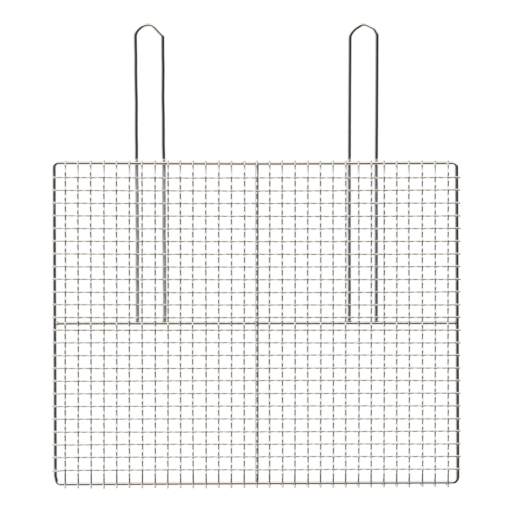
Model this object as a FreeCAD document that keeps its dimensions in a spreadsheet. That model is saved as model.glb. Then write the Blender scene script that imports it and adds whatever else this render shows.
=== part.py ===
"""Flat crimped-wire grill net on a rod frame, with two centre bars and two loop handles.

Units are millimetres. +X runs across the net, +Y towards the handles and +Z up.
The origin is under the middle of the whole object, on the surface that it rests on.
"""
import FreeCAD, Part
import math
import os
import Sketcher

Vector = FreeCAD.Vector
Rotation = FreeCAD.Rotation
Placement = FreeCAD.Placement

X_AXIS = Vector(1, 0, 0)
Y_AXIS = Vector(0, 1, 0)
Z_AXIS = Vector(0, 0, 1)

os.makedirs("parts", exist_ok=True)
doc = FreeCAD.newDocument("grill_net")


# ---------------------------------------------------------------- driving dimensions

DRIVING = (
    ("wire_diameter", 1.6, "net wire"),
    ("wire_pitch", 12.0, "from one net wire to the next"),
    ("warp_count", 31, "net wires that run along Y"),
    ("weft_count", 24, "net wires that run along X"),
    ("crimps_per_pitch", 3, "half waves of a net wire between two crossings"),
    ("crimp_angle", 30.0, "steepest slope of a net wire, degrees"),
    ("contact_gap", 0.02, "clearance left where two pieces touch"),
    ("side_overhang", 2.0, "net wire beyond the outside of a side rod"),
    ("front_overhang", 2.5, "net wire beyond the outside of the front rod"),
    ("rear_overhang", 1.0, "net wire beyond the outside of the rear rod"),
    ("rod_diameter", 3.5, "rod of the frame, the centre bars and the handles"),
    ("frame_width", 378.5, "between the centre lines of the side rods"),
    ("frame_depth", 303.5, "between the centre lines of the front and rear rods"),
    ("front_corner_radius", 5.5, "centre line of the rim rod's front corners"),
    ("rear_corner_radius", 4.0, "centre line of the rim rod's rear corners"),
    ("handle_spacing", 200.0, "between the middles of the two handles"),
    ("handle_width", 25.5, "between the centre lines of a handle's legs"),
    ("handle_reach", 130.3, "from the rear rod to the top of a loop, centre lines"),
    ("leg_end_gap", 0.6, "between a leg's square end and the cross bar"),
    ("dip_angle", 50.0, "slope of a leg where it climbs beyond the rear rod, degrees"),
    ("dip_bend_radius", 2.5, "bend from that climb into the loop"),
    ("loop_rise", 3.7, "slope of a loop outside the frame, degrees"),
    ("left_lean", 0.4, "turn of the left handle about the rear rod, degrees"),
    ("right_lean", -0.13, "turn of the right handle about the rear rod, degrees"),
)

sheet = doc.addObject("Spreadsheet::Sheet", "Sizes")
for row, (alias, value, meaning) in enumerate(DRIVING, start=1):
    sheet.set(f"A{row}", meaning)
    sheet.set(f"B{row}", str(value))
    sheet.setAlias(f"B{row}", alias)
doc.recompute()


def size(alias):
    """One driving dimension, read from the sheet."""
    return float(sheet.get(alias))


rod = size("rod_diameter")
gap = size("contact_gap")
pitch = size("wire_pitch")
half_width = size("frame_width") / 2
half_depth = size("frame_depth") / 2

# The legs touch the ground under the rear rod. The net lies on top of the frame.
under_rod = rod + gap
crest = (size("wire_diameter") + gap) / 2
FRAME_LEVEL = "Sizes.rod_diameter * 1.5 + Sizes.contact_gap"
NET_LEVEL = "Sizes.rod_diameter * 2 + Sizes.contact_gap * 2.5 + Sizes.wire_diameter"

# The net's middle, in Y, when the origin is halfway between the front tips and the loops.
NET_MIDDLE = "(Sizes.front_overhang - Sizes.handle_reach) / 2"


# ---------------------------------------------------------------- helpers

def place(piece, x="0", y="0", z="0"):
    """Binds a piece's position to the sheet."""
    for axis, formula in (("x", x), ("y", y), ("z", z)):
        piece.setExpression(f"Placement.Base.{axis}", formula)


def rounded_path(points, radii):
    """Straight runs through the points, with a tangent arc at each inner corner."""
    edges = []
    start = points[0]
    for corner, following, radius in zip(points[1:], points[2:], radii):
        incoming = (corner - start).normalize()
        outgoing = (following - corner).normalize()
        half_turn = incoming.getAngle(outgoing) / 2
        setback = radius * math.tan(half_turn)
        inward = (outgoing - incoming).normalize()
        entry = corner - incoming * setback
        middle = corner + inward * (radius / math.cos(half_turn) - radius)
        leaving = corner + outgoing * setback
        edges.append(Part.LineSegment(start, entry).toShape())
        edges.append(Part.Arc(entry, middle, leaving).toShape())
        start = leaving
    edges.append(Part.LineSegment(start, points[-1]).toShape())
    return Part.Wire(edges)


def centre_line(name, path, diameter_alias):
    """The path of a bent rod, and the circle at its start that is swept along it."""
    line = doc.addObject("Part::Feature", f"{name}_centre_line")
    line.Shape = path
    first = path.Edges[0]
    heading = first.tangentAt(first.FirstParameter)
    section = doc.addObject("Part::Circle", f"{name}_section")
    section.Placement = Placement(first.Vertexes[0].Point, Rotation(Z_AXIS, heading))
    section.setExpression("Radius", f"Sizes.{diameter_alias} / 2")
    return line, section


def bent_rod(name, line, section):
    """A solid round rod or wire along a centre line."""
    piece = doc.addObject("Part::Sweep", name)
    piece.Label = name
    piece.Sections = [section]
    piece.Spine = (line, [])
    piece.Solid = True
    return piece


# ---------------------------------------------------------------- crimped net wires

def crimped_path(along, count, starts_high, rod_line, first_tip, last_tip):
    """Centre line of a net wire that passes over and under in turn at count crossings.

    The crimps run on past the last crossing to the last low crest that is more than a rod's
    width from the rod's centre line. From there the wire lies flat, out to its tip.
    """
    crimps = int(size("crimps_per_pitch"))
    half_wave = pitch / crimps
    slope = math.radians(size("crimp_angle"))
    corner_height = half_wave / 2 * math.tan(slope)
    bend_radius = (corner_height - crest) / (1 / math.cos(slope) - 1)
    flat_setback = bend_radius * math.tan(slope / 2)
    last_crossing = pitch * (count - 1) / 2

    def station(number):
        return half_wave * number - last_crossing

    def is_high(number):
        return (number % 2 == 0) == starts_high

    crests = range(-2 * crimps, crimps * (count + 1) + 1)
    low = [n for n in crests if not is_high(n) and abs(station(n)) < rod_line - rod]
    first, last = low[0], low[-1]
    outline = [(-first_tip, -crest), (station(first) + flat_setback, -crest)]
    for number in range(first + 1, last):
        outline.append((station(number), corner_height if is_high(number) else -corner_height))
    outline += [(station(last) - flat_setback, -crest), (last_tip, -crest)]
    points = [along * run + Z_AXIS * height for run, height in outline]
    return rounded_path(points, [bend_radius] * (len(points) - 2))


def net_wires(name, count, path_for, starts_high, step_axis):
    """All parallel wires of one direction. They share two centre lines, one per start."""
    swept = {
        high: centre_line(f"{name}_{'high' if high else 'low'}", path_for(high), "wire_diameter")
        for high in (True, False)
    }
    pieces = []
    for number in range(count):
        piece = bent_rod(f"{name}_{number + 1:02d}", *swept[starts_high(number)])
        offset = f"Sizes.wire_pitch * {number - (count - 1) / 2}"
        if step_axis == "x":
            place(piece, offset, NET_MIDDLE, NET_LEVEL)
        else:
            place(piece, "0", f"{NET_MIDDLE} + {offset}", NET_LEVEL)
        pieces.append(piece)
    return pieces


warp_count = int(size("warp_count"))
weft_count = int(size("weft_count"))
side_tip = half_width + rod / 2 + size("side_overhang")
front_tip = half_depth + rod / 2 + size("front_overhang")
rear_tip = half_depth + rod / 2 + size("rear_overhang")


def warp_is_over(warp, weft):
    """Plain weave: a warp wire passes over every other weft wire, both counted from zero."""
    return (warp + weft) % 2 == 0


def warp_path(starts_high):
    return crimped_path(Y_AXIS, weft_count, starts_high, half_depth, front_tip, rear_tip)


def weft_path(starts_high):
    return crimped_path(X_AXIS, warp_count, starts_high, half_width, side_tip, side_tip)


warp_wires = net_wires("warp_wire", warp_count, warp_path, lambda n: warp_is_over(n, 0), "x")
weft_wires = net_wires("weft_wire", weft_count, weft_path, lambda n: not warp_is_over(0, n), "y")


# ---------------------------------------------------------------- rim rod

ORIGIN_POINT = (-1, 1)
HORIZONTAL_AXIS = -1
START, END, CENTRE = 1, 2, 3


def sketch_on(body, name, role):
    """A sketch on one of the body's own origin planes."""
    sketch = body.newObject("Sketcher::SketchObject", name)
    plane = next(feature for feature in body.Origin.OriginFeatures if feature.Role == role)
    sketch.AttachmentSupport = [(plane, "")]
    sketch.MapMode = "FlatFace"
    return sketch


def dimension(sketch, kind, where, value, formula):
    """Adds a sketch dimension and ties it to the sheet."""
    index = sketch.addConstraint(Sketcher.Constraint(kind, *where, value))
    sketch.setExpression(f"Constraints[{index}]", formula)


def rim_outline(body):
    """Centre line of the rim rod: a rectangle with arcs at its corners, counterclockwise."""
    sketch = sketch_on(body, "rim_outline", "XY_Plane")
    corners = (
        (half_width, -half_depth, "front_corner_radius"),
        (half_width, half_depth, "rear_corner_radius"),
        (-half_width, half_depth, "rear_corner_radius"),
        (-half_width, -half_depth, "front_corner_radius"),
    )
    arcs = []
    for quarter, (x, y, radius_alias) in enumerate(corners):
        radius = size(radius_alias)
        inset = Vector(math.copysign(radius, x), math.copysign(radius, y), 0)
        circle = Part.Circle(Vector(x, y, 0) - inset, Z_AXIS, radius)
        start = math.pi / 2 * (quarter - 1)
        arc = Part.ArcOfCircle(circle, start, start + math.pi / 2)
        arcs.append(sketch.addGeometry(arc))
        dimension(sketch, "Radius", (arcs[-1],), radius, f"Sizes.{radius_alias}")
    sides = []
    for quarter, arc in enumerate(arcs):
        following = arcs[(quarter + 1) % 4]
        run = Part.LineSegment(sketch.getPoint(arc, END), sketch.getPoint(following, START))
        sides.append(sketch.addGeometry(run))
        sketch.addConstraint(Sketcher.Constraint("Tangent", arc, END, sides[-1], START))
        sketch.addConstraint(Sketcher.Constraint("Tangent", sides[-1], END, following, START))
    right, rear, left, front = sides
    for side in (right, left):
        sketch.addConstraint(Sketcher.Constraint("Vertical", side))
    for side in (rear, front):
        sketch.addConstraint(Sketcher.Constraint("Horizontal", side))
    width = "Sizes.frame_width / 2"
    depth = "Sizes.frame_depth / 2"
    dimension(sketch, "DistanceX", (*ORIGIN_POINT, right, START), half_width, width)
    dimension(sketch, "DistanceX", (left, START, *ORIGIN_POINT), half_width, width)
    dimension(sketch, "DistanceY", (*ORIGIN_POINT, rear, START), half_depth, depth)
    dimension(sketch, "DistanceY", (front, START, *ORIGIN_POINT), half_depth, depth)
    return sketch


def rim_section(body):
    """The rod's round section, where the sweep along the outline starts."""
    sketch = sketch_on(body, "rim_section", "YZ_Plane")
    circle = sketch.addGeometry(Part.Circle(Vector(-half_depth, 0, 0), Z_AXIS, rod / 2))
    on_axis = Sketcher.Constraint("PointOnObject", circle, CENTRE, HORIZONTAL_AXIS)
    sketch.addConstraint(on_axis)
    reach = (circle, CENTRE, *ORIGIN_POINT)
    dimension(sketch, "DistanceX", reach, half_depth, "Sizes.frame_depth / 2")
    dimension(sketch, "Radius", (circle,), rod / 2, "Sizes.rod_diameter / 2")
    return sketch


def make_rim():
    """The rounded rectangle of rod that carries the edge of the net."""
    body = doc.addObject("PartDesign::Body", "rim_rod")
    body.Label = "rim_rod"
    outline = rim_outline(body)
    section = rim_section(body)
    pipe = body.newObject("PartDesign::AdditivePipe", "rim_pipe")
    pipe.Profile = section
    pipe.Spine = (outline, [])
    place(body, "0", NET_MIDDLE, FRAME_LEVEL)
    return body


rim_rod = make_rim()


# ---------------------------------------------------------------- centre bars

def round_bar(name, length_formula, start, heading):
    """A straight round bar from start along heading, in the frame's own plane."""
    bar = doc.addObject("Part::Cylinder", name)
    bar.setExpression("Radius", "Sizes.rod_diameter / 2")
    bar.setExpression("Height", length_formula)
    bar.Placement = Placement(Vector(), Rotation(Z_AXIS, heading))
    place(bar, *start)
    return bar


def coped(name, bar, rods):
    """A bar whose ends are cut to the round of the rods that they are welded to."""
    cutters = doc.addObject("Part::MultiFuse", f"{name}_cope")
    cutters.Shapes = rods
    piece = doc.addObject("Part::Cut", name)
    piece.Base = bar
    piece.Tool = cutters
    piece.Label = name
    return piece


def cope_rod(name, length_formula, start, heading):
    """The space that a crossing rod needs, with the contact gap around it."""
    space = round_bar(name, length_formula, start, heading)
    space.setExpression("Radius", "Sizes.rod_diameter / 2 + Sizes.contact_gap")
    return space


LEFT = "-Sizes.frame_width / 2"
RIGHT = "Sizes.frame_width / 2"
FRONT = f"{NET_MIDDLE} - Sizes.frame_depth / 2"
REAR = f"{NET_MIDDLE} + Sizes.frame_depth / 2"
COPE_LENGTH = "Sizes.rod_diameter * 4"
HALF_COPE = "Sizes.rod_diameter * 2"


def make_spine_bar():
    """The bar along Y under the middle warp wire, from the front rod to the rear rod."""
    bar = round_bar("spine_round", "Sizes.frame_depth", ("0", FRONT, FRAME_LEVEL), Y_AXIS)
    ends = [
        cope_rod(f"{name}_rod_at_spine", COPE_LENGTH, (f"-{HALF_COPE}", y, FRAME_LEVEL), X_AXIS)
        for name, y in (("front", FRONT), ("rear", REAR))
    ]
    return coped("spine_bar", bar, ends)


def make_cross_bar():
    """The bar along X, in two halves that meet the spine bar's sides."""
    halves = []
    for side, outer, start in (("left", LEFT, LEFT), ("right", RIGHT, "0")):
        bar = round_bar(f"{side}_round", "Sizes.frame_width / 2",
                        (start, NET_MIDDLE, FRAME_LEVEL), X_AXIS)
        ends = [
            cope_rod(f"{name}_at_{side}_half", COPE_LENGTH,
                     (x, f"{NET_MIDDLE} - {HALF_COPE}", FRAME_LEVEL), Y_AXIS)
            for name, x in (("side_rod", outer), ("spine_bar", "0"))
        ]
        halves.append(coped(f"{side}_half", bar, ends))
    pair = doc.addObject("Part::Compound", "cross_bar")
    pair.Label = "cross_bar"
    pair.Links = halves
    return pair


spine_bar = make_spine_bar()
cross_bar = make_cross_bar()


# ---------------------------------------------------------------- handles

half_grip = size("handle_width") / 2
reach = size("handle_reach")

# Each loop is bent by hand, so no two are alike. A bend is its place across the handle, how
# far its corner lies from the height of the loop's top, and its radius.
LEFT_LOOP = ((-half_grip, -7.7, 10.0), (-1.2, 3.5, 8.5), (half_grip, -10.4, 3.0))
RIGHT_LOOP = ((-half_grip, -10.2, 9.0), (-1.1, 2.1, 9.0), (9.8, -4.1, 4.0), (half_grip, -9.0, 8.0))


def handle_path(loop):
    """Leg, loop and leg. The rear rod's centre line is at y = 0, at the frame's level.

    A leg slants down from the cross bar until it passes under the rear rod. It bends round
    the rod there and climbs at the steeper dip angle, back to the frame's level.
    """
    rise = math.tan(math.radians(size("loop_rise")))
    leg_end = rod / 2 + size("leg_end_gap") - half_depth
    climb = math.radians(size("dip_angle"))
    slant = math.asin(under_rod / -leg_end)
    dip_depth = under_rod / math.cos((climb + slant) / 2)
    dip_y = dip_depth * math.sin((climb - slant) / 2)
    dip_z = -dip_depth * math.cos((climb - slant) / 2)
    dip_run = under_rod / math.sin(climb)
    leg = (
        (leg_end, 0, 0),
        (dip_y, dip_z, under_rod),
        (dip_run, 0, size("dip_bend_radius")),
    )
    corners = [(-half_grip, y, z, radius) for y, z, radius in leg]
    for x, from_top, radius in loop:
        y = reach + from_top
        corners.append((x, y, (y - dip_run) * rise, radius))
    corners += [(half_grip, y, z, radius) for y, z, radius in reversed(leg)]
    points = [Vector(x, y, z) for x, y, z, radius in corners]
    return rounded_path(points, [radius for x, y, z, radius in corners[1:-1]])


def make_handle(name, loop, x, lean):
    """One handle, turned a little about the place where it passes under the rear rod."""
    line, section = centre_line(name, handle_path(loop), "rod_diameter")
    piece = bent_rod(name, line, section)
    place(piece, x, REAR, FRAME_LEVEL)
    piece.setExpression("Placement.Rotation.Angle", f"Sizes.{lean}")
    return piece


left_handle = make_handle("left_handle", LEFT_LOOP, "-Sizes.handle_spacing / 2", "left_lean")
right_handle = make_handle("right_handle", RIGHT_LOOP, "Sizes.handle_spacing / 2", "right_lean")


# ---------------------------------------------------------------- checks and export

doc.recompute()

for item in doc.Objects:
    if {"Invalid", "Error"} & set(item.State):
        raise RuntimeError(f"{item.Label} failed: {item.State}")

pieces = warp_wires + weft_wires + [rim_rod, spine_bar, cross_bar, left_handle, right_handle]
for piece in pieces:
    if piece.Shape.isNull() or not piece.Shape.isValid():
        raise RuntimeError(f"{piece.Label} has no valid shape")

wire_area = math.pi * size("wire_diameter") ** 2 / 4
rod_area = math.pi * rod ** 2 / 4
for piece in (warp_wires[0], weft_wires[0], left_handle, right_handle):
    area = rod_area if piece in (left_handle, right_handle) else wire_area
    length = piece.Spine[0].Shape.Length
    print(f"{piece.Label}: volume {piece.Shape.Volume:.1f}, section x length {area * length:.1f}")

whole = Part.makeCompound([piece.Shape for piece in pieces])
print("pieces", len(pieces), "box", whole.BoundBox)

for piece in pieces:
    piece.Shape.exportStep(f"parts/{piece.Label}.step")
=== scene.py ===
# %% [markdown]
# # A flat grill net of crimped wire
# Fifty-five bright wires are woven into a net and welded onto a frame of round rod. Two bars
# stiffen the middle and two bent loops are the handles. This lesson builds the steel first,
# then the wires, the rods, the handles and the welds, and last the table, light and camera.
#
# ## Load the imported model
# The part was already built to size in CAD. Loading it brings in every piece, so the looks made
# here only have to follow it. Everything is in metres.

# %% Load the imported model
import math

import bpy
import numpy as np
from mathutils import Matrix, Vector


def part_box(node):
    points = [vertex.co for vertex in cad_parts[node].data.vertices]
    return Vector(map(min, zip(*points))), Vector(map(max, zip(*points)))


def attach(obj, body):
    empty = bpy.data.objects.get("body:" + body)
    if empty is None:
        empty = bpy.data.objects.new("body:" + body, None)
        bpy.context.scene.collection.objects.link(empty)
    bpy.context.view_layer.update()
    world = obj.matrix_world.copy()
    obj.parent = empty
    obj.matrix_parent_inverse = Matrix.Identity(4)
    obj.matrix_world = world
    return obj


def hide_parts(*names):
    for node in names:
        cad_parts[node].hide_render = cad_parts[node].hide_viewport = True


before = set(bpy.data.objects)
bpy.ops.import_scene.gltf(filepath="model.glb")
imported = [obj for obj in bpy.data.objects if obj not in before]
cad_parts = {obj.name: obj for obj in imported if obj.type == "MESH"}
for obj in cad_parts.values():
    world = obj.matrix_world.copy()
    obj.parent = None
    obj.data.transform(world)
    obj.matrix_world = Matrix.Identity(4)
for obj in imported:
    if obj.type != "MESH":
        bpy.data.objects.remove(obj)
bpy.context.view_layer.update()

# %% [markdown]
# ## Sizes
# The thickness of wire and rod, the pitch of the mesh and the place of each rod could be typed
# in again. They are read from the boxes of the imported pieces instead, so that a change of the
# part reaches the looks by itself.

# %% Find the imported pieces
MM = 0.001


def middle(node):
    """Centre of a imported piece's box."""
    low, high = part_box(node)
    return np.array((low + high) / 2)


def numbered(stem):
    """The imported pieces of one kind, in order."""
    return sorted(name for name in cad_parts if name.startswith(stem))


warp_names = numbered("warp_wire")
weft_names = numbered("weft_wire")
warp_x = np.array([middle(name)[0] for name in warp_names])
weft_y = np.array([middle(name)[1] for name in weft_names])
print("warp wires", len(warp_names), "weft wires", len(weft_names))

# %% Read the sizes
warp_low, warp_high = (np.array(c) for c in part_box(warp_names[0]))
weft_low, weft_high = (np.array(c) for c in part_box(weft_names[0]))
rim_low, rim_high = (np.array(c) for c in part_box("rim_rod"))

WIRE = (warp_high - warp_low)[0] / 2
ROD = (rim_high - rim_low)[2] / 2
PITCH = (warp_x[-1] - warp_x[0]) / (len(warp_x) - 1)
NET_LEVEL = (warp_low[2] + warp_high[2]) / 2
FRAME_LEVEL = (rim_low[2] + rim_high[2]) / 2
CREST = (warp_high[2] - warp_low[2]) / 2 - WIRE
LEFT, FRONT = rim_low[:2] + ROD
RIGHT, REAR = rim_high[:2] - ROD
NET_Y = (FRONT + REAR) / 2
print(f"wire radius {WIRE:.5f}, rod radius {ROD:.5f}, pitch {PITCH:.5f}, crest {CREST:.5f}")
print(f"rods at x {LEFT:.4f} {RIGHT:.4f}, y {FRONT:.4f} {REAR:.4f}, z {FRAME_LEVEL:.5f}")

# %% [markdown]
# ## A smooth tube
# Wire and rod are pulled through a die, so they are round all along, even round a bend. The
# quick way is a curve object with a bevel. Here the rings are placed by numpy instead, because
# each point can then carry attributes that the steel reads by name: "drawn" is its place along
# and across the tube, "heat" is how hot welding made it and, on the handle legs under the net,
# a painted warm reflection, and "ground" is how much it was ground.

# %% Directions and distances along a line
ALONG_X = np.array((1.0, 0.0, 0.0))
ALONG_Y = np.array((0.0, 1.0, 0.0))
UP = np.array((0.0, 0.0, 1.0))


def directions(line, closed):
    """Unit vectors to the side of a line and above it, at each of its points."""
    if closed:
        heading = np.roll(line, -1, 0) - np.roll(line, 1, 0)
    else:
        heading = np.gradient(line, axis=0)
    heading /= np.linalg.norm(heading, axis=1)[:, None]
    aside = np.cross(heading, UP)
    aside /= np.linalg.norm(aside, axis=1)[:, None]
    return aside, np.cross(aside, heading)


def distances(line):
    """How far along a line each of its points lies."""
    steps = np.linalg.norm(np.diff(line, axis=0), axis=1)
    return np.concatenate(([0.0], np.cumsum(steps)))


print("distances along a bent line", distances(np.array((UP * 0, ALONG_X, ALONG_X + ALONG_Y))))


# %% Faces between rings
def tube_faces(count, sides, closed):
    """Four-cornered faces that join each ring of points to the next."""
    ring = np.arange(sides)
    rows = np.arange(count if closed else count - 1)
    here = rows[:, None] * sides
    there = (rows[:, None] + 1) % count * sides
    after = (ring + 1) % sides
    faces = np.stack((here + ring, there + ring, there + after, here + after), -1)
    return faces.reshape(-1, 4).tolist()


def close_end(points, faces, marks, centre, row, order):
    """Adds a centre point to an end ring and a fan of triangles around it."""
    sides = len(order)
    hub = len(points)
    along = marks["drawn"][row * sides, 0]
    marks["drawn"] = np.vstack((marks["drawn"], (along, 0, 0)))
    for mark in ("heat", "ground"):
        marks[mark] = np.append(marks[mark], marks[mark][row * sides])
    rim = row * sides + order
    faces += [(hub, int(a), int(b)) for a, b in zip(rim, np.roll(rim, -1))]
    return np.vstack((points, centre))


print("faces of a tube with 3 rings of 12", len(tube_faces(3, 12, False)))


# %% Tube maker
def tube(line, radius, sides=12, closed=False, heat=0.0, ground=0.0, squash=None, lumps=None):
    """Points, faces and marks of a tube around a line. The radius may change along it."""
    line = np.asarray(line, float)
    count = len(line)
    aside, above = directions(line, closed)
    turn = np.arange(sides) / sides * 2 * math.pi
    reach = np.broadcast_to(np.asarray(radius, float), (count,))[:, None]
    if lumps is not None:
        reach = reach * lumps
    sideways = reach * np.cos(turn)
    upward = reach * np.sin(turn)
    wide, tall = (1.0, 1.0) if squash is None else (s[:, None] for s in squash)
    out = (sideways * wide)[..., None] * aside[:, None, :]
    rise = (upward * tall)[..., None] * above[:, None, :]
    points = (line[:, None, :] + out + rise).reshape(-1, 3)
    along = np.broadcast_to(distances(line)[:, None], (count, sides))
    drawn = np.stack((along, *np.broadcast_arrays(sideways, upward)), -1)
    marks = {"drawn": drawn.reshape(-1, 3)}
    for mark, value in (("heat", heat), ("ground", ground)):
        marks[mark] = np.repeat(np.broadcast_to(np.asarray(value, float), (count,)), sides)
    faces = tube_faces(count, sides, closed)
    if not closed:
        ring = np.arange(sides)
        for row, order in ((0, ring), (count - 1, ring[::-1])):
            points = close_end(points, faces, marks, line[row], row, order)
    return points, faces, marks


print("points of a short closed-ended tube", len(tube([UP * 0, ALONG_X], WIRE)[0]))

# %% [markdown]
# ## From tubes to a named piece
# A piece may need several tubes, such as a row of weld beads, and one mesh can hold them all.
# Each piece rides on the body it belongs to, names the kind of steel it is made of, and says
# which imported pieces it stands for, which are then hidden.

# %% Piece maker
MARKS = (("drawn", "FLOAT_VECTOR", "vector"), ("heat", "FLOAT", "value"), ("ground", "FLOAT", "value"))


def make_piece(name, parts, material, replaced=()):
    """One named piece from one or more tubes. It rides on the body and may stand for CAD nodes."""
    points = np.vstack([part[0] for part in parts])
    faces = []
    shift = 0
    for part in parts:
        faces += [[corner + shift for corner in face] for face in part[1]]
        shift += len(part[0])
    mesh = bpy.data.meshes.new(name)
    mesh.from_pydata(points.tolist(), [], faces)
    mesh.polygons.foreach_set("use_smooth", np.ones(len(faces), bool))
    for mark, kind, field in MARKS:
        values = np.concatenate([part[2][mark] for part in parts]).astype(np.float32)
        attribute = mesh.attributes.new(mark, kind, "POINT")
        attribute.data.foreach_set(field, values.ravel())
    mesh.materials.append(material)
    mesh.update()
    piece = bpy.data.objects.new(name, mesh)
    bpy.context.scene.collection.objects.link(piece)
    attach(piece, "root")
    if replaced:
        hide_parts(*replaced)
    return piece


print("marks on every point:", [mark for mark, _, _ in MARKS])

# %% [markdown]
# ## Node helpers
# A material is a graph of nodes, and so is the light around the scene. Each node takes three or
# four lines of Blender's own calls: make it, set it, link its inputs. These helpers do that in
# one line, so that the graphs below read almost like sums.

# %% Node helpers
def add(tree, kind, inputs=(), output=0, **settings):
    """Adds a node and returns one output. Inputs are numbers, colours or earlier outputs."""
    node = tree.nodes.new(kind)
    for name, value in settings.items():
        setattr(node, name, value)
    for name, value in dict(inputs).items():
        if isinstance(value, bpy.types.NodeSocket):
            tree.links.new(value, node.inputs[name])
        else:
            node.inputs[name].default_value = value
    return node.outputs[output]


def calc(tree, operation, first, second=0.0):
    """One step of arithmetic."""
    return add(tree, "ShaderNodeMath", {0: first, 1: second}, operation=operation)


def fade(tree, value, start, end):
    """Rises smoothly from 0 at start to 1 at end. It falls where start is the larger."""
    steps = {"Value": value, "From Min": start, "From Max": end}
    return add(tree, "ShaderNodeMapRange", steps, interpolation_type="SMOOTHSTEP")


def spread(tree, value, low, high):
    """Maps 0 to 1 onto low to high."""
    return add(tree, "ShaderNodeMapRange", {"Value": value, "To Min": low, "To Max": high})


def stretch(tree, place, amounts):
    """Scales a place by its own amount in each direction."""
    return add(tree, "ShaderNodeVectorMath", {0: place, 1: amounts}, operation="MULTIPLY")


print("arithmetic helpers:", [helper.__name__ for helper in (add, calc, fade, spread, stretch)])


# %% Colour helpers
# The mix node has sockets for numbers, places and colours. These are the ones for colours.
MIX_FACTOR, MIX_FIRST, MIX_SECOND, MIX_RESULT = 0, 6, 7, 2


def blend(tree, factor, first, second):
    """Mixes two colours."""
    sockets = {MIX_FACTOR: factor, MIX_FIRST: first, MIX_SECOND: second}
    return add(tree, "ShaderNodeMix", sockets, MIX_RESULT, data_type="RGBA")


def tint(tree, factor, first, second):
    """Multiplies the first colour by the second."""
    sockets = {MIX_FACTOR: factor, MIX_FIRST: first, MIX_SECOND: second}
    return add(tree, "ShaderNodeMix", sockets, MIX_RESULT, data_type="RGBA", blend_type="MULTIPLY")


def colour(red, green, blue):
    """An opaque colour, from 0 to 1 in linear light."""
    return (red, green, blue, 1.0)


print("colour helpers:", [helper.__name__ for helper in (blend, tint, colour)])


# %% Group helpers
def start_group(name, inputs, outputs):
    """An empty node group with named inputs and outputs. Also returns what comes in."""
    group = bpy.data.node_groups.new(name, "ShaderNodeTree")
    for socket, kind in inputs:
        group.interface.new_socket(socket, in_out="INPUT", socket_type=kind)
    for socket, kind in outputs:
        group.interface.new_socket(socket, in_out="OUTPUT", socket_type=kind)
    return group, group.nodes.new("NodeGroupInput").outputs


def end_group(group, **results):
    """Joins the results to the group's outputs."""
    sink = group.nodes.new("NodeGroupOutput")
    for name, value in results.items():
        group.links.new(value, sink.inputs[name])


def place_group(tree, group, **values):
    """Puts a group in a material with its own values and returns its outputs."""
    node = tree.nodes.new("ShaderNodeGroup")
    node.node_tree = group
    for name, value in values.items():
        node.inputs[name].default_value = value
    return node.outputs


print("group helpers:", [helper.__name__ for helper in (start_group, end_group, place_group)])

# %% [markdown]
# ## Drawn lines
# The die leaves fine lines along a wire. An image of brushed metal would smear at each bend.
# Noise that is stretched along the "drawn" attribute follows every crimp, so the lines bend
# with the wire. A second, coarser noise makes it slightly patchy, as drawn wire is.

# %% Drawn lines
drawn_lines, given = start_group(
    "drawn lines",
    [("LineStretch", "NodeSocketVector"), ("MottleStretch", "NodeSocketVector")],
    [("Lines", "NodeSocketFloat"), ("Mottle", "NodeSocketFloat")])
place = add(drawn_lines, "ShaderNodeAttribute", output="Vector", attribute_name="drawn")
long_lines = stretch(drawn_lines, place, given["LineStretch"])
lines = add(drawn_lines, "ShaderNodeTexNoise", {"Vector": long_lines, "Scale": 1.0, "Detail": 3.0})
patches = stretch(drawn_lines, place, given["MottleStretch"])
mottle = add(drawn_lines, "ShaderNodeTexNoise", {"Vector": patches, "Scale": 1.0, "Detail": 2.0})
end_group(drawn_lines, Lines=lines, Mottle=mottle)
print("group", drawn_lines.name, "nodes", len(drawn_lines.nodes))

# %% [markdown]
# ## Handling marks
# Hands leave dull smudges and the edges of other pieces leave short scratches. Cell textures
# make scratches that join up like cracks. Here a scratch is the thin line where a swirling
# noise passes one half, and a slower noise hides most of it, so only a few stay.

# %% Handling marks
handling, given = start_group(
    "handling marks",
    [("SmudgeScale", "NodeSocketFloat"), ("ScratchScale", "NodeSocketFloat")],
    [("Smudge", "NodeSocketFloat"), ("Scratch", "NodeSocketFloat")])
where = add(handling, "ShaderNodeTexCoord", output="Object")
smudge = add(handling, "ShaderNodeTexNoise",
             {"Vector": where, "Scale": given["SmudgeScale"], "Detail": 4.0})
swirl = add(handling, "ShaderNodeTexNoise",
            {"Vector": where, "Scale": given["ScratchScale"], "Distortion": 0.8})
off_line = calc(handling, "ABSOLUTE", calc(handling, "SUBTRACT", swirl, 0.5))
few = add(handling, "ShaderNodeTexNoise", {"Vector": where, "Scale": 75.0, "Detail": 1.0})
thin_line = fade(handling, off_line, 0.006, 0.0)
scratch = calc(handling, "MULTIPLY", thin_line, fade(handling, few, 0.5, 0.62))
end_group(handling, Smudge=fade(handling, smudge, 0.48, 0.68), Scratch=scratch)
print("group", handling.name, "nodes", len(handling.nodes))

# %% [markdown]
# ## Heat colours
# Steel that was welded turns straw, then brown, then grey towards the hot spot. A colour ramp
# could hold the three colours. Three mixes that fade in one after the other do the same, and
# show at which heat each begins. Noise breaks up the edges of the rings.

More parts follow.
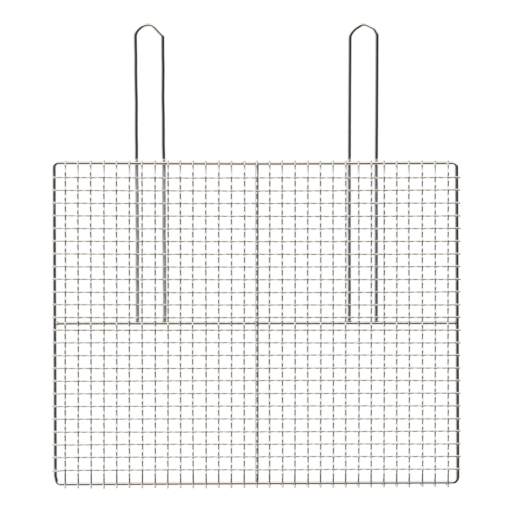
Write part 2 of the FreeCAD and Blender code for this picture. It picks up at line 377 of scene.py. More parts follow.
# %% Heat colours
STRAW = colour(1.0, 0.86, 0.66)
BROWN = colour(0.55, 0.38, 0.27)
BURNT_GREY = colour(0.20, 0.18, 0.17)
heat_colours, given = start_group(
    "heat colours", [("GrainScale", "NodeSocketFloat")],
    [("Colour", "NodeSocketColor"), ("Burnt", "NodeSocketFloat")])
# On the handle legs under the net, part of this heat is a painted warm reflection.
heat = add(heat_colours, "ShaderNodeAttribute", output="Fac", attribute_name="heat")
where = add(heat_colours, "ShaderNodeTexCoord", output="Object")
uneven = add(heat_colours, "ShaderNodeTexNoise",
             {"Vector": where, "Scale": given["GrainScale"], "Detail": 3.0})
heat = calc(heat_colours, "MULTIPLY", heat, spread(heat_colours, uneven, 0.75, 1.25))
straw = blend(heat_colours, fade(heat_colours, heat, 0.05, 0.4), colour(1, 1, 1), STRAW)
brown = blend(heat_colours, fade(heat_colours, heat, 0.4, 0.7), straw, BROWN)
grey = blend(heat_colours, fade(heat_colours, heat, 0.7, 1.0), brown, BURNT_GREY)
end_group(heat_colours, Colour=grey, Burnt=fade(heat_colours, heat, 0.3, 1.0))
print("group", heat_colours.name, "nodes", len(heat_colours.nodes))

# %% [markdown]
# ## The steels
# Net, rods and welds are all one bright steel. The net wire is the smoothest, the rod is paler
# and a weld is rough, because it froze without a die. One function makes all three, so they
# differ only in the numbers given: the colour, the least and greatest roughness, and how deep
# the lines are. Each kind of wear adds its own share of roughness.

# %% Steel maker
LINE_STRETCH = (90.0, 5200.0, 5200.0)
MOTTLE_STRETCH = (140.0, 700.0, 700.0)
DULL_PATCH = 0.93
SCRATCH_CUT = 0.6
PATCH_RISE = 0.5
WELD_RISE = 4.0
BUMP_STRENGTH = 0.6
ADDED_ROUGHNESS = {"smudge": 0.05, "scratch": 0.08, "burnt": 0.25, "ground": 0.22}


def make_steel(name, base, smooth, rough, line_depth, weld=0.0):
    """A bright metal with drawn lines, smudges, heat colours and ground patches."""
    material = bpy.data.materials.new(name)
    material.use_nodes = True
    tree = material.node_tree
    surface = tree.nodes["Principled BSDF"]
    drawing = place_group(tree, drawn_lines, LineStretch=LINE_STRETCH, MottleStretch=MOTTLE_STRETCH)
    marks = place_group(tree, handling, SmudgeScale=28.0, ScratchScale=170.0)
    tempering = place_group(tree, heat_colours, GrainScale=900.0)
    ground = add(tree, "ShaderNodeAttribute", output="Fac", attribute_name="ground")

    patchy = spread(tree, drawing["Mottle"], 0.0, 1.0)
    shade = blend(tree, patchy, colour(*(v * DULL_PATCH for v in base)), colour(*base))
    shade = tint(tree, 1.0, shade, tempering["Colour"])
    tree.links.new(shade, surface.inputs["Base Color"])
    surface.inputs["Metallic"].default_value = 1.0

    wear = spread(tree, drawing["Lines"], smooth, rough)
    worn = {"smudge": marks["Smudge"], "scratch": marks["Scratch"], "burnt": tempering["Burnt"],
            "ground": ground}
    for kind, extra in ADDED_ROUGHNESS.items():
        wear = calc(tree, "ADD", wear, calc(tree, "MULTIPLY", worn[kind], extra))
    tree.links.new(calc(tree, "ADD", wear, weld), surface.inputs["Roughness"])

    cut = calc(tree, "MULTIPLY", marks["Scratch"], SCRATCH_CUT)
    risen = calc(tree, "MULTIPLY", drawing["Mottle"], PATCH_RISE + WELD_RISE * weld)
    height = calc(tree, "ADD", calc(tree, "SUBTRACT", drawing["Lines"], cut), risen)
    relief = {"Strength": BUMP_STRENGTH, "Distance": line_depth, "Height": height}
    bump = add(tree, "ShaderNodeBump", relief)
    tree.links.new(bump, surface.inputs["Normal"])
    return material


print("roughness added by wear:", ADDED_ROUGHNESS)

# %% The three steels
net_steel = make_steel("bright net wire", (0.77, 0.76, 0.75), 0.04, 0.09, 0.000004)
rod_steel = make_steel("bright rod", (0.82, 0.81, 0.80), 0.04, 0.10, 0.000005)
weld_steel = make_steel("weld metal", (0.74, 0.70, 0.66), 0.18, 0.30, 0.00004, weld=0.08)
print("steels:", [steel.name for steel in (net_steel, rod_steel, weld_steel)])

# %% [markdown]
# ## The crimp of a net wire
# Before weaving, each wire is pressed into waves, three half waves to a pitch, so that it locks
# over and under every wire it crosses. A sine curve would be quick, but a crimping wheel leaves
# straight slopes of 30 degrees with a round bend at each crest. So only the bends get points,
# and the slopes are the straight faces between them.

# %% Bend of a crest
chance = np.random.default_rng(41)
HALF_WAVES = 3
HALF_WAVE = PITCH / HALF_WAVES
SLOPE = math.radians(30)
BEND = (HALF_WAVE / 2 * math.tan(SLOPE) - CREST) / (1 / math.cos(SLOPE) - 1)
ARC = np.array((0.0, 0.5, 1.0)) * BEND * math.sin(SLOPE)
ARC_DROP = BEND - np.sqrt(BEND ** 2 - ARC ** 2)
print(f"half wave {HALF_WAVE:.5f}, bend radius {BEND:.5f}")

# %% Crests from end to end
LOWEST_CRIMP = 0.96


def crests_between(count, starts_high, rod_line):
    """Distances and heights of the crimps. They keep a rod's width inside both rods."""
    last_crossing = PITCH * (count - 1) / 2
    numbers = np.arange(-2 * HALF_WAVES, HALF_WAVES * (count + 1) + 1)
    high = (numbers % 2 == 0) == starts_high
    at = HALF_WAVE * numbers - last_crossing
    inside = np.flatnonzero(~high & (abs(at) < rod_line - 2 * ROD))
    first, last = inside[0], inside[-1]
    run, height = [], []
    for k in range(first, last + 1):
        sign = 1.0 if high[k] else -1.0
        full = CREST * chance.uniform(LOWEST_CRIMP, 1.0)
        for side in (-1, 1):
            if (k == first and side < 0) or (k == last and side > 0):
                continue
            order = slice(None, 0, -1) if side < 0 else slice(None)
            run += list(at[k] + side * ARC[order])
            height += list(sign * (full - ARC_DROP[order]))
    return np.array(run), np.array(height)


print("crests of one warp wire, about", HALF_WAVES * (len(weft_y) - 1))

# %% [markdown]
# ## The end of a net wire
# A wire runs straight from its last crimp to the rod that it is welded to, and is cut off just
# beyond. Welding presses it down, flattens it a little and tilts its end: the front ends of the
# warp point up and all the others down. A separate cap could close the tube, but a last ring
# that is a little smaller also gives the cut end the soft edge that a real one has.

# %% End over the rod
CHAMFER = 0.14 * WIRE
CHAMFER_SIZE = 0.72
CLEAR_OF_CREST = 0.2 * MM
END_STATIONS = (1.3, 0.6, 0.0, -0.6, -1.3, -2.0, -2.6)


def end_over_rod(tip, tilt, last_crest, rod_line):
    """The end from its chamfered tip inwards. It tips about the rod's top."""
    past_rod = abs(tip) - rod_line
    outward = [past_rod, past_rod - CHAMFER, past_rod - 0.5 * MM]
    outward += [s * MM for s in END_STATIONS]
    outward = np.array([s for s in outward if rod_line + s > abs(last_crest) + CLEAR_OF_CREST])
    height = math.tan(math.radians(tilt)) * outward - CREST
    return math.copysign(1, tip) * (rod_line + outward), height


def crimped_run(count, starts_high, rod_line, tips, tilts):
    """Distances along a wire and its heights from tip to tip, and how many belong to each end."""
    run, height = crests_between(count, starts_high, rod_line)
    first_end, first_height = end_over_rod(tips[0], tilts[0], run[0], rod_line)
    last_end, last_height = end_over_rod(tips[1], tilts[1], run[-1], rod_line)
    run = np.concatenate((first_end, run, last_end[::-1]))
    height = np.concatenate((first_height, height, last_height[::-1]))
    return run, height, len(first_end), len(last_end)


print("stations over a rod, in mm from its middle:", END_STATIONS)

# %% [markdown]
# ## One net wire
# A loom never leaves a wire quite straight. Each wire drifts sideways by a few tenths of a
# millimetre, from three slow waves of random size. The numbers come from one generator with a
# fixed seed, so the net comes out the same every time.

# %% Net wire maker
PRESSED = 0.15 * MM
PRESS_WIDTH = 2.2 * MM
WELD_WIDTH = 2.0 * MM
WELD_HEAT = 0.32
WANDER = 0.16 * MM
WANDER_PACE = 8
ANY_PHASE = 6.3


def wander(run, reach):
    """A slow sideways drift along one wire."""
    total = np.zeros_like(run)
    for waves in (0.7, 1.9, 4.3):
        size = chance.normal(0, reach / waves ** 0.7)
        total += size * np.sin(run * waves * WANDER_PACE + chance.uniform(0, ANY_PHASE))
    return total


def net_wire(name, replaced, along_y, offset, count, starts_high, rod_line, tips, tilts, drift):
    """One crimped wire with pressed, chamfered and slightly heated ends."""
    run, height, before, after = crimped_run(count, starts_high, rod_line, tips, tilts)
    off_rod = np.minimum(abs(run - rod_line), abs(run + rod_line))
    outside = (np.arange(len(run)) < before) | (np.arange(len(run)) >= len(run) - after)
    press = np.where(outside, np.exp(-(off_rod / PRESS_WIDTH) ** 2), 0.0)
    height = height - PRESSED * press
    radius = np.full(len(run), WIRE)
    radius[[0, -1]] *= CHAMFER_SIZE
    squash = (1 + 0.06 * press, 1 - 0.08 * press)
    heat = WELD_HEAT * np.exp(-(off_rod / WELD_WIDTH) ** 2)
    aside = offset + wander(run, WANDER) + drift(run)
    line = np.empty((len(run), 3))
    line[:, 0], line[:, 1] = (aside, run + NET_Y) if along_y else (run, aside)
    line[:, 2] = NET_LEVEL + height
    part = tube(line, radius, squash=squash, heat=heat)
    return make_piece(name, [part], net_steel, [replaced])


print(f"ends pressed by {PRESSED:.5f}, sideways drift about {WANDER:.5f}")

# %% [markdown]
# ## The warp
# The warp wires run from the front rod to the rear rod. An array modifier would copy one wire
# thirty-one times. They are made one by one instead, because on the real net each is cut to its
# own length and stands a little off its even place. The front ends get shorter to the right.

# %% Weave the warp
HALF_DEPTH = (REAR - FRONT) / 2
WARP_TILTS = (13, -14)
FRONT_TRIM = 1.6 * MM


def warp_is_over(warp, weft):
    """Plain weave: every other crossing passes over."""
    return (warp + weft) % 2 == 0


def warp_shift(x):
    """How far a warp wire stands to the right of its even place."""
    shift = 0.5 * MM * math.cos(math.pi / 2 * x / warp_x[-1])
    to_right = np.clip((x - 0.1) / 0.08, 0, 1) ** 2
    to_left = np.clip((-x - 0.15) / 0.03, 0, 1)
    return shift + (0.75 * MM * to_right - 0.3 * MM * to_left)


net_pieces = []
for n, (node, x) in enumerate(zip(warp_names, warp_x)):
    shift = warp_shift(x)
    shorter = FRONT_TRIM * n / len(warp_x)
    front_tip = warp_low[1] - NET_Y + chance.uniform(0.15, 0.75) * MM + shorter
    rear_tip = warp_high[1] - NET_Y - chance.uniform(0.15, 0.55) * MM
    net_pieces.append(net_wire(
        f"net_warp_{n + 1:02d}", node, True, x, len(weft_y), warp_is_over(n, 0), HALF_DEPTH,
        (front_tip, rear_tip), WARP_TILTS, lambda run: np.full(len(run), shift)))
print("warp wires", len(net_pieces))

# %% [markdown]
# ## The weft
# The weft wires run across. The front ones are pulled to the rear on the right. Halfway along,
# front and rear wires bow towards the middle of the net, and the foremost sags forward at its
# left end. Each effect is a short formula over the wire's length, which is easier to change
# than points moved by hand.

# %% Weave the weft
WEFT_TILTS = (-17, -15)
SAG_LENGTH = 9 * MM


def weft_drift(y, sag):
    """How far a weft wire stands to the rear of its even place, along its length."""
    forward = (NET_Y - y) / HALF_DEPTH
    pull = 0.8 * MM * max(0.0, forward) + 0.35 * MM * max(0.0, math.tanh(3 * forward))
    slack = 0.55 * MM * math.tanh(3 * forward)

    def drift(run):
        lifted = pull * np.clip(run / RIGHT, 0, 1) + slack * (1 - (run / RIGHT) ** 2)
        return lifted - sag * np.clip((-run - RIGHT + SAG_LENGTH) / SAG_LENGTH, 0, 1)

    return drift


for n, (node, y) in enumerate(zip(weft_names, weft_y)):
    left_tip = weft_low[0] + chance.uniform(0.2, 0.65) * MM
    right_tip = weft_high[0] - chance.uniform(0.2, 0.65) * MM
    net_pieces.append(net_wire(
        f"net_weft_{n + 1:02d}", node, False, y, len(warp_x), not warp_is_over(0, n), RIGHT,
        (left_tip, right_tip), WEFT_TILTS, weft_drift(y, 0.8 * MM if n == 0 else 0.0)))
print("net wires", len(net_pieces), "points", sum(len(p.data.vertices) for p in net_pieces))

# %% [markdown]
# ## Bent rod
# A rod is bent cold round a pin, so its middle line is straight runs joined by arcs. A Bezier
# curve would swell or pinch at the corners. Here each corner is given with its own radius, and
# the arc that touches both runs is worked out, as on a bending drawing.

# %% Arc at a corner
ARC_STEP = math.radians(9)


def corner_arc(before, here, beyond, radius):
    """Points of the arc that touches both runs at a corner."""
    coming = here - before
    going = beyond - here
    coming /= np.linalg.norm(coming)
    going /= np.linalg.norm(going)
    half_turn = math.acos(np.clip(coming @ going, -1, 1)) / 2
    inward = going - coming
    inward /= np.linalg.norm(inward)
    hub = here + inward * radius / math.cos(half_turn)
    steps = max(4, int(math.ceil(half_turn * 2 / ARC_STEP)))
    forward = (coming + going) / (2 * math.cos(half_turn))
    turns = np.linspace(-half_turn, half_turn, steps + 1)
    return [hub + (-inward * math.cos(t) + forward * math.sin(t)) * radius for t in turns]


right_angle = corner_arc(-ALONG_X, np.zeros(3), ALONG_Y, 0.5)
print("points of a square corner's arc", len(right_angle))


# %% Line of a bent rod
def bent_line(corners, spacing, closed=False):
    """Points along straight runs with an arc at each corner. A corner is x, y, z and radius."""
    spots = [np.array(c[:3], float) for c in corners]
    count = len(spots)
    stops = []
    for i in range(count):
        if not closed and i in (0, count - 1):
            stops.append([spots[i]])
        else:
            stops.append(corner_arc(spots[i - 1], spots[i], spots[(i + 1) % count], corners[i][3]))
    points = []
    for i, arc in enumerate(stops):
        points += arc
        if i == count - 1 and not closed:
            break
        start, end = arc[-1], stops[(i + 1) % count][0]
        inner = max(1, int(np.linalg.norm(end - start) / spacing))
        points += [start + (end - start) * k / inner for k in range(1, inner)]
    return np.array(points)


FULL_TURN = 6.283


def ripple(line, reach):
    """Slow unevenness of a rod that was straightened by hand, only across the flat."""
    along = distances(line)
    total = np.zeros(len(line))
    for waves in (5, 13, 27):
        phase = chance.uniform(0, ANY_PHASE)
        size = chance.normal(0, reach / waves ** 0.5)
        total += size * np.sin(along / along[-1] * waves * FULL_TURN + phase)
    return total


print("points of a 10 mm run, 3 mm apart",
      len(bent_line([(0, 0, 0, 0), (10 * MM, 0, 0, 0)], 3 * MM)))

# %% [markdown]
# ## The rim rod
# One rod goes round the whole net and is closed by a butt weld on the left side, which was
# ground back. No such rim is a true rectangle: its sides lean, the front climbs to the right,
# the rear sags, and the front left corner was pulled in. A sculpted mesh would show none of
# the reasons, so each fault is a small formula of its own.

# %% How the rim was bent
def skewed(x, y):
    """The rim as it was bent: its sides lean a little to the right towards the front."""
    lean = (y - NET_Y) / (REAR - FRONT)
    wider = math.copysign(0.8, x)
    return x + (wider - 0.55 - 1.15 * lean) * MM


def bowed(line):
    """The front side climbs to the right and the rear side sags in its middle."""
    line = line.copy()
    toward_front = np.clip((NET_Y - line[:, 1]) / (NET_Y - FRONT), 0, 1) ** 4
    toward_rear = np.clip((line[:, 1] - NET_Y) / (REAR - NET_Y), 0, 1) ** 4
    share = (line[:, 0] - LEFT) / (RIGHT - LEFT)
    line[:, 1] += toward_front * 1.85 * MM * np.clip(share, 0, 1) ** 0.8
    line[:, 1] -= toward_rear * 0.6 * MM * np.sin(np.clip(share, 0, 1) * math.pi) ** 2
    return line


BEND_REAR, BEND_FRONT = 4.0 * MM, 5.5 * MM
rim_corners = [
    (skewed(LEFT, 0.05), 0.05, FRAME_LEVEL, 0.5),
    (skewed(LEFT, FRONT), FRONT + 8 * MM, FRAME_LEVEL, 8 * MM),
    (skewed(LEFT, FRONT) + 1.8 * MM, FRONT, FRAME_LEVEL, 4.2 * MM),
    (skewed(RIGHT, FRONT), FRONT, FRAME_LEVEL, BEND_FRONT),
    (skewed(RIGHT, REAR), REAR, FRAME_LEVEL, BEND_REAR),
    (skewed(LEFT, REAR), REAR, FRAME_LEVEL, BEND_REAR),
]
ROD_STEP = 3 * MM
rim_line = bowed(bent_line(rim_corners, ROD_STEP, closed=True))
print("rim line points", len(rim_line))

# %% Rim rod and its butt weld
ROD_SIDES = 24
BUTT_WELD_Y = 0.045
WELD_REACH = 3.6 * MM
butt_weld = np.array((skewed(LEFT, BUTT_WELD_Y), BUTT_WELD_Y, FRAME_LEVEL))
from_weld = np.linalg.norm(rim_line - butt_weld, axis=1)
ground = np.clip(1.6 - from_weld / WELD_REACH, 0, 1)
grinding = chance.normal(0, 0.02, (len(rim_line), ROD_SIDES))
lumps = 1 + ground[:, None] * grinding - 0.02 * ground[:, None]
rim_tube = tube(rim_line, ROD, ROD_SIDES, closed=True, ground=ground, heat=0.3 * ground, lumps=lumps)
rim = make_piece("frame_rim", [rim_tube], rod_steel, ["rim_rod"])
print(rim.name, "points", len(rim.data.vertices))

# %% [markdown]
# ## Centre bars
# A spine bar runs front to rear under the middle of the net, and a cross bar meets it from each
# side. They could be cylinders, but the tube keeps the drawn lines and the heat colour near
# each welded end. Both were welded in slightly off their true places.

# %% Centre bars
BAR_END_HEAT = 0.5
BAR_HEAT_REACH = 4 * MM
SPINE_X = 0.4 * MM


def straight_bar(start, end):
    """A straight bar with a little heat colour near each welded end."""
    span = np.linalg.norm(np.array(end) - np.array(start))
    share = np.linspace(0, 1, int(span / ROD_STEP) + 1)
    line = np.array(start) + (np.array(end) - np.array(start)) * share[:, None]
    near = np.minimum(share, 1 - share) * span
    return tube(line, ROD, ROD_SIDES, heat=BAR_END_HEAT * np.exp(-(near / BAR_HEAT_REACH) ** 2))


def cross_y(x):
    """The cross bar was welded in a little askew, nearer to the rear on the right."""
    return NET_Y + (0.48 + 0.22 * x / RIGHT) * MM


spine_ends = [(SPINE_X, y, FRAME_LEVEL) for y in (FRONT, REAR)]
cross_ends = [(x, cross_y(x), FRAME_LEVEL) for x in (LEFT, 0, RIGHT)]
spine = make_piece("frame_spine_bar", [straight_bar(*spine_ends)], rod_steel, ["spine_bar"])
cross = make_piece("frame_cross_bar", [straight_bar(*cross_ends[:2]), straight_bar(*cross_ends[1:])],
                   rod_steel, ["cross_bar"])
print("bars", spine.name, cross.name)

# %% [markdown]
# ## Handles
# A handle is one long rod. Its legs start at the cross bar, slant down under the rear rod, bend
# round it, climb steeply and run out to a loop. The loops were bent by hand round a peg, so the
# two are not alike, and each gets its own short list of bends. Each bend is its place across
# the handle, how far its corner lies from the reach, and its radius, all in millimetres.

# %% Bends of the handles
CONTACT = 0.02 * MM
GRIP = 12.75
HALF_GRIP = GRIP * MM
CLIMB = math.radians(50)
LOOP_RISE = math.radians(3.7)
LEFT_LOOP = ((-GRIP, -8.0, 9.0), (-7.3, -2.3, 9.0), (1.8, 0.5, 8.0), (GRIP, -11.1, 3.0))
RIGHT_LOOP = ((-GRIP, -9.6, 10.0), (-7.4, -3.9, 12.0), (-0.2, 0.5, 7.0), (10.2, -4.5, 5.0),
              (GRIP, -9.8, 8.0))
REACH = 130.22 * MM
RIPPLE = 0.12 * MM
under_rod = 2 * ROD + CONTACT
leg_end = NET_Y - REAR + ROD + 0.6 * MM
climb_run = under_rod / math.sin(CLIMB)


def leg_bends():
    """Bends of a leg from its end to the loop, as y, z and radius. The rear rod is at y = 0."""
    slant = math.asin(under_rod / -leg_end)
    depth = under_rod / math.cos((CLIMB + slant) / 2)
    dip_y = depth * math.sin((CLIMB - slant) / 2)
    dip_z = -depth * math.cos((CLIMB - slant) / 2)
    return ((leg_end, 0, 0), (dip_y, dip_z, under_rod), (climb_run, 0, 2.5 * MM))


def handle_line(loop, centre_x, lean, spring):
    """Leg, bend under the rear rod, loop, bend and leg, turned about the rear rod."""
    leg = leg_bends()
    corners = [(-HALF_GRIP, y, z, r) for y, z, r in leg]
    for x, from_top, r in loop:
        y = REACH + from_top * MM
        corners.append((x * MM, y, (y - climb_run) * math.tan(LOOP_RISE), r * MM))
    corners += [(HALF_GRIP, y, z, r) for y, z, r in reversed(leg)]
    line = bent_line(corners, 2 * MM)
    line[:, 0] += ripple(line, RIPPLE) + spring * np.clip(line[:, 1] / leg_end, 0, 1) ** 0.5
    angle = math.radians(lean)
    turned = line.copy()
    turned[:, 0] = line[:, 0] * math.cos(angle) - line[:, 1] * math.sin(angle) + centre_x
    turned[:, 1] = line[:, 0] * math.sin(angle) + line[:, 1] * math.cos(angle) + REAR
    turned[:, 2] += FRAME_LEVEL
    return turned


print(f"a leg ends {leg_end:.4f} from the rear rod and climbs over {climb_run:.4f}")

# %% Make the handles
# Side, loop, middle of the legs, lean in degrees, sideways spring and dullness under the net.
SET_BY_HAND = (("left", LEFT_LOOP, -100.6 * MM, 0.24, 0.5 * MM, 1.8),
               ("right", RIGHT_LOOP, 100.4 * MM, -0.13, 0.3 * MM, 0.8))
# The second number tints the legs under the net straw to brown through the heat colours: a painted warm
# reflection, not heat.
LEG_END_HEAT, LEG_PAINTED_REFLECTION = 0.4, 0.3
LEG_HEAT_REACH = 3 * MM
DULL_START = 4 * MM

handles = []
for side, loop, centre_x, lean, spring, dull in SET_BY_HAND:
    line = handle_line(loop, centre_x, lean, spring)
    near_end = np.minimum(*(np.linalg.norm(line - end, axis=1) for end in line[[0, -1]]))
    under_net = np.clip((REAR - ROD - line[:, 1]) / DULL_START, 0, 1)
    # Heat from the welds at the leg ends, plus a painted warm reflection along the legs under the net.
    heat = LEG_END_HEAT * np.exp(-(near_end / LEG_HEAT_REACH) ** 2) + LEG_PAINTED_REFLECTION * under_net
    rod = tube(line, ROD, ROD_SIDES, heat=heat, ground=dull * under_net)
    handle = make_piece(f"handle_{side}", [rod], rod_steel, [f"{side}_handle"])
    handles.append(handle)
    made = np.array([v.co for v in handle.data.vertices])
    print(handle.name, "from", made.min(0).round(5), "to", made.max(0).round(5))

# %% [markdown]
# ## Weld beads
# Each wire end was spot-welded onto a rod, which squeezes out a little metal on both sides. A
# boolean would melt the shapes together and lose the clean edges. A short fat tube with uneven
# rings, sunk into the rod, looks the same and stays a piece of its own.

# %% Bead maker
BEAD_SIDES = 10
BEAD_RINGS = 9


def bead(centre, along, half_length, radius, heat, flat=1.0):
    """A short uneven lump of weld metal, thickest in its middle."""
    share = np.linspace(-1, 1, BEAD_RINGS)
    line = np.array(centre) + np.outer(share * half_length, along)
    full = radius * np.sqrt(np.clip(1 - share ** 2, 0.03, 1))
    uneven = 1 + chance.normal(0, 0.05, (BEAD_RINGS, BEAD_SIDES))
    squash = (np.ones(BEAD_RINGS), np.full(BEAD_RINGS, flat))
    return tube(line, full, BEAD_SIDES, heat=heat, lumps=uneven, squash=squash)


print("a bead has", BEAD_RINGS, "rings of", BEAD_SIDES)


# %% Spot welds along the rods
def bead_row(name, spots, along):
    """One spot-weld bead under each wire end on a rod."""
    half_length, radius, heat, flat = 1.5 * MM, 0.62 * MM, 0.3, 0.6
    parts = [bead(spot, along, half_length * chance.uniform(0.85, 1.15), radius * chance.uniform(0.9, 1.1),
                  heat * chance.uniform(0.7, 1.3), flat) for spot in spots]
    return make_piece(name, parts, weld_steel)


contact = FRAME_LEVEL + ROD - 0.08 * MM
welds = [
    bead_row("welds_front", [(x, FRONT, contact) for x in warp_x], ALONG_X),
    bead_row("welds_rear", [(x, REAR, contact) for x in warp_x], ALONG_X),
    bead_row("welds_left", [(skewed(LEFT, y), y, contact) for y in weft_y], ALONG_Y),
    bead_row("welds_right", [(skewed(RIGHT, y), y, contact) for y in weft_y], ALONG_Y),
]
print("spot welds", [w.name for w in welds])

# %% [markdown]
# ## Bar and handle welds
# Rods that meet are joined by larger beads. The crossing in the middle joins three rods, so it
# was the hottest and is burnt grey, while each leg got one short bead at the cross bar and one
# hidden under the rear rod. The same bead does for all of them with other sizes, so that every
# weld on the net has the same surface.

# %% Middle weld and bar ends
crossing = np.array((SPINE_X, cross_y(0), FRAME_LEVEL))
middle_weld = [bead(crossing + 0.3 * MM * UP, ALONG_Y, 3.2 * MM, 2.4 * MM, 1.0, 0.85),
               bead(crossing + 0.2 * MM * UP, ALONG_X, 2.9 * MM, 2.2 * MM, 0.9, 0.85)]
welds.append(make_piece("weld_middle", middle_weld, weld_steel))

tee_joints = []
for x, y, along in ((LEFT, cross_y(LEFT), ALONG_X), (RIGHT, cross_y(RIGHT), ALONG_X),
                    (SPINE_X, FRONT, ALONG_Y), (SPINE_X, REAR, ALONG_Y)):
    toward_middle = np.sign(np.array((0, NET_Y, 0)) - np.array((x, y, 0))) * np.abs(along)
    spot = np.array((x, y, FRAME_LEVEL)) + toward_middle * 1.9 * MM
    tee_joints.append(bead(spot, along, 1.5 * MM, 2.15 * MM, 0.55))
welds.append(make_piece("welds_bar_ends", tee_joints, weld_steel))
print("bar welds", len(middle_weld) + len(tee_joints))

# %% Handle welds
leg_welds = []
for piece in handles:
    points = np.array([v.co for v in piece.data.vertices])
    centre_x = (points[:, 0].min() + points[:, 0].max()) / 2
    for x in (centre_x - HALF_GRIP + 0.9 * MM, centre_x + HALF_GRIP + 0.9 * MM):
        beside_bar = (x, cross_y(x) + ROD, FRAME_LEVEL)
        leg_welds.append(bead(beside_bar, ALONG_X, 1.6 * MM, 0.9 * MM, 0.35, 1.3))
        leg_welds.append(bead((x, REAR, FRAME_LEVEL - ROD), ALONG_X, 2.2 * MM, 0.8 * MM, 0.4))
welds.append(make_piece("welds_handles", leg_welds, weld_steel))
print("weld pieces", [w.name for w in welds])

# %% [markdown]
# ## Table
# The net lies on white paper. A plain white floor under lamps goes grey, or glows so bright
# that it swallows thin wires. So it gives out most of its own white evenly and takes only a
# little light, which leaves a faint shadow. The steel doesn't mirror it, so the map of light
# below reaches the undersides too. It belongs to the stage, not to the object.

# %% Table
TABLE_HALF = 15.0
table_mesh = bpy.data.meshes.new("table")
table_corners = [(x * TABLE_HALF, y * TABLE_HALF, 0) for x, y in ((-1, -1), (1, -1), (1, 1), (-1, 1))]
table_mesh.from_pydata(table_corners, [], [(0, 1, 2, 3)])
table = bpy.data.objects.new("table", table_mesh)
bpy.context.scene.collection.objects.link(table)
table.location.z = -0.1 * MM
table.visible_glossy = False

paper = bpy.data.materials.new("white paper")
paper.use_nodes = True
tree = paper.node_tree
spot = add(tree, "ShaderNodeTexCoord", output="Object")
fibre = add(tree, "ShaderNodeTexNoise", {"Vector": spot, "Scale": 300.0, "Detail": 3.0})
paper_shade = blend(tree, fibre, colour(0.13, 0.13, 0.13), colour(0.15, 0.15, 0.15))
surface = tree.nodes["Principled BSDF"]
tree.links.new(paper_shade, surface.inputs["Base Color"])
for socket, value in (("Roughness", 0.9), ("Specular IOR Level", 0.0), ("Emission Strength", 0.90),
                      ("Emission Color", colour(1, 1, 1))):
    surface.inputs[socket].default_value = value
table_mesh.materials.append(paper)
print("table half width", TABLE_HALF)

# %% [markdown]
# ## Light
# Polished steel has hardly a shade of its own: it shows what stands around it. So the light is
# drawn as a map of directions. A white tent wraps the net, warm at the front right, cool at the
# rear left and brightest at the rear. Only along the rear horizon is it dim, or rods seen from
# low down would vanish. The opening above is grey and the room on the right is dark. Area lamps
# could do it too, but a map puts each edge where it is wanted. Two angles place the dark and
# the grey: "across" turns from straight up towards the right, "rearward" towards the rear. The
# camera itself sees plain white behind everything, and one weak ceiling lamp that the steel
# doesn't mirror draws the shadow on the paper.

# %% Directions of the light
world = bpy.data.worlds.new("tent")
bpy.context.scene.world = world
world.use_nodes = True
tree = world.node_tree
tree.nodes.clear()
direction = tree.nodes.new("ShaderNodeTexCoord").outputs["Generated"]
parts_of = tree.nodes.new("ShaderNodeSeparateXYZ")
tree.links.new(direction, parts_of.inputs[0])
to_right, to_rear, to_sky = parts_of.outputs
across = calc(tree, "ARCTAN2", to_right, to_sky)
rearward = calc(tree, "ARCSINE", to_rear)


def degrees(*angles):
    """Angles in degrees, as radians."""
    return [math.radians(a) for a in angles]


def window(value, rise, fall):
    """One inside a range of angles, fading at both sides."""
    return calc(tree, "MULTIPLY", fade(tree, value, *degrees(*rise)), fade(tree, value, *degrees(*fall)))


print("light map in", world.name)

# %% Dark room and grey opening
slanted = calc(tree, "SUBTRACT", across, calc(tree, "MULTIPLY", rearward, 0.4))
dark_edge = fade(tree, slanted, *degrees(4, 8))
dark_side = calc(tree, "MULTIPLY", dark_edge, fade(tree, across, *degrees(156, 138)))
dark = calc(tree, "MULTIPLY", dark_side, window(rearward, (-72, -60), (27, 15)))
grey_across = window(across, (-100, -60), (14, 10))
grey = calc(tree, "MULTIPLY", grey_across, window(rearward, (-50, -42), (19, 9)))
grey_depth = fade(tree, across, *degrees(-75, 2))
grey_shade = blend(tree, grey_depth, colour(0.42, 0.44, 0.46), colour(0.050, 0.050, 0.054))
print("masks: dark room, grey opening")

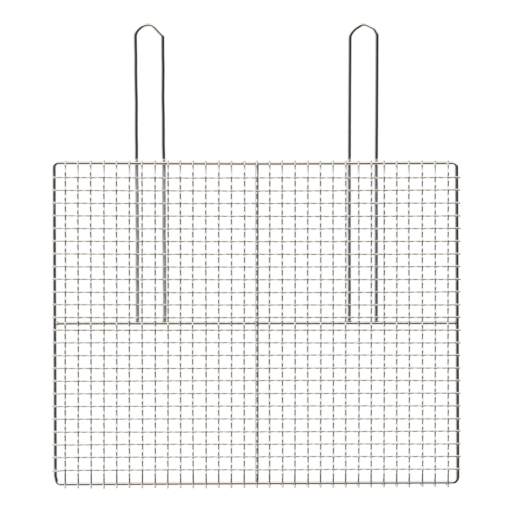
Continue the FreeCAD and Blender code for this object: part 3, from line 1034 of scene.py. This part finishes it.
# %% White tent and the whole sky
WARM_WHITE = colour(1.0, 0.88, 0.74)
COOL_WHITE = colour(0.82, 0.90, 1.0)
REAR_WHITE = colour(1.25, 1.14, 1.02)
HORIZON = colour(0.50, 0.50, 0.51)
ROOM_DARK = colour(0.040, 0.026, 0.020)
to_left_rear = calc(tree, "SUBTRACT", to_rear, calc(tree, "MULTIPLY", to_right, 0.5))
white = blend(tree, fade(tree, to_left_rear, -0.5, 0.6), WARM_WHITE, COOL_WHITE)
white = blend(tree, fade(tree, to_rear, 0.5, 0.8), white, REAR_WHITE)
white = blend(tree, fade(tree, to_rear, 0.90, 0.95), white, HORIZON)
sky = blend(tree, grey, white, grey_shade)
sky = blend(tree, dark, sky, ROOM_DARK)
seen = add(tree, "ShaderNodeBackground", {"Color": colour(1, 1, 1), "Strength": 1.0})
lit = add(tree, "ShaderNodeBackground", {"Color": sky, "Strength": 1.25})
camera_ray = tree.nodes.new("ShaderNodeLightPath").outputs["Is Camera Ray"]
either = add(tree, "ShaderNodeMixShader", {0: camera_ray, 1: lit, 2: seen})
tree.links.new(either, tree.nodes.new("ShaderNodeOutputWorld").inputs["Surface"])
print("sky nodes", len(tree.nodes))

# %% Ceiling lamp
lamp = bpy.data.lights.new("ceiling", "AREA")
lamp.shape = "SQUARE"
lamp.size = 4.0
lamp.energy = 60.0
ceiling = bpy.data.objects.new("ceiling", lamp)
ceiling.location = (0, 0, 3.0)
ceiling.visible_glossy = False
ceiling.visible_camera = False
bpy.context.scene.collection.objects.link(ceiling)
print("lamp", lamp.size, "m wide,", lamp.energy, "W")

# %% [markdown]
# ## Camera
# The net is seen from straight above and from far away, so that near and far rods look equally
# thick. The lens is worked out from the height and from how wide a field is wanted at the net,
# which is safer than trying focal lengths by eye. The plain Standard view keeps white white.

# %% Camera
CAMERA_HEIGHT = 2.0
FIELD = 0.4828
camera_data = bpy.data.cameras.new("camera")
camera_data.sensor_width = 36.0
camera_data.lens = camera_data.sensor_width * (CAMERA_HEIGHT - NET_LEVEL) / FIELD
camera_data.dof.use_dof = False
camera = bpy.data.objects.new("camera", camera_data)
camera.location = (-0.3 * MM, 0, CAMERA_HEIGHT)
bpy.context.scene.collection.objects.link(camera)
bpy.context.scene.camera = camera
bpy.context.scene.view_settings.view_transform = "Standard"
print("lens", round(camera_data.lens, 1))
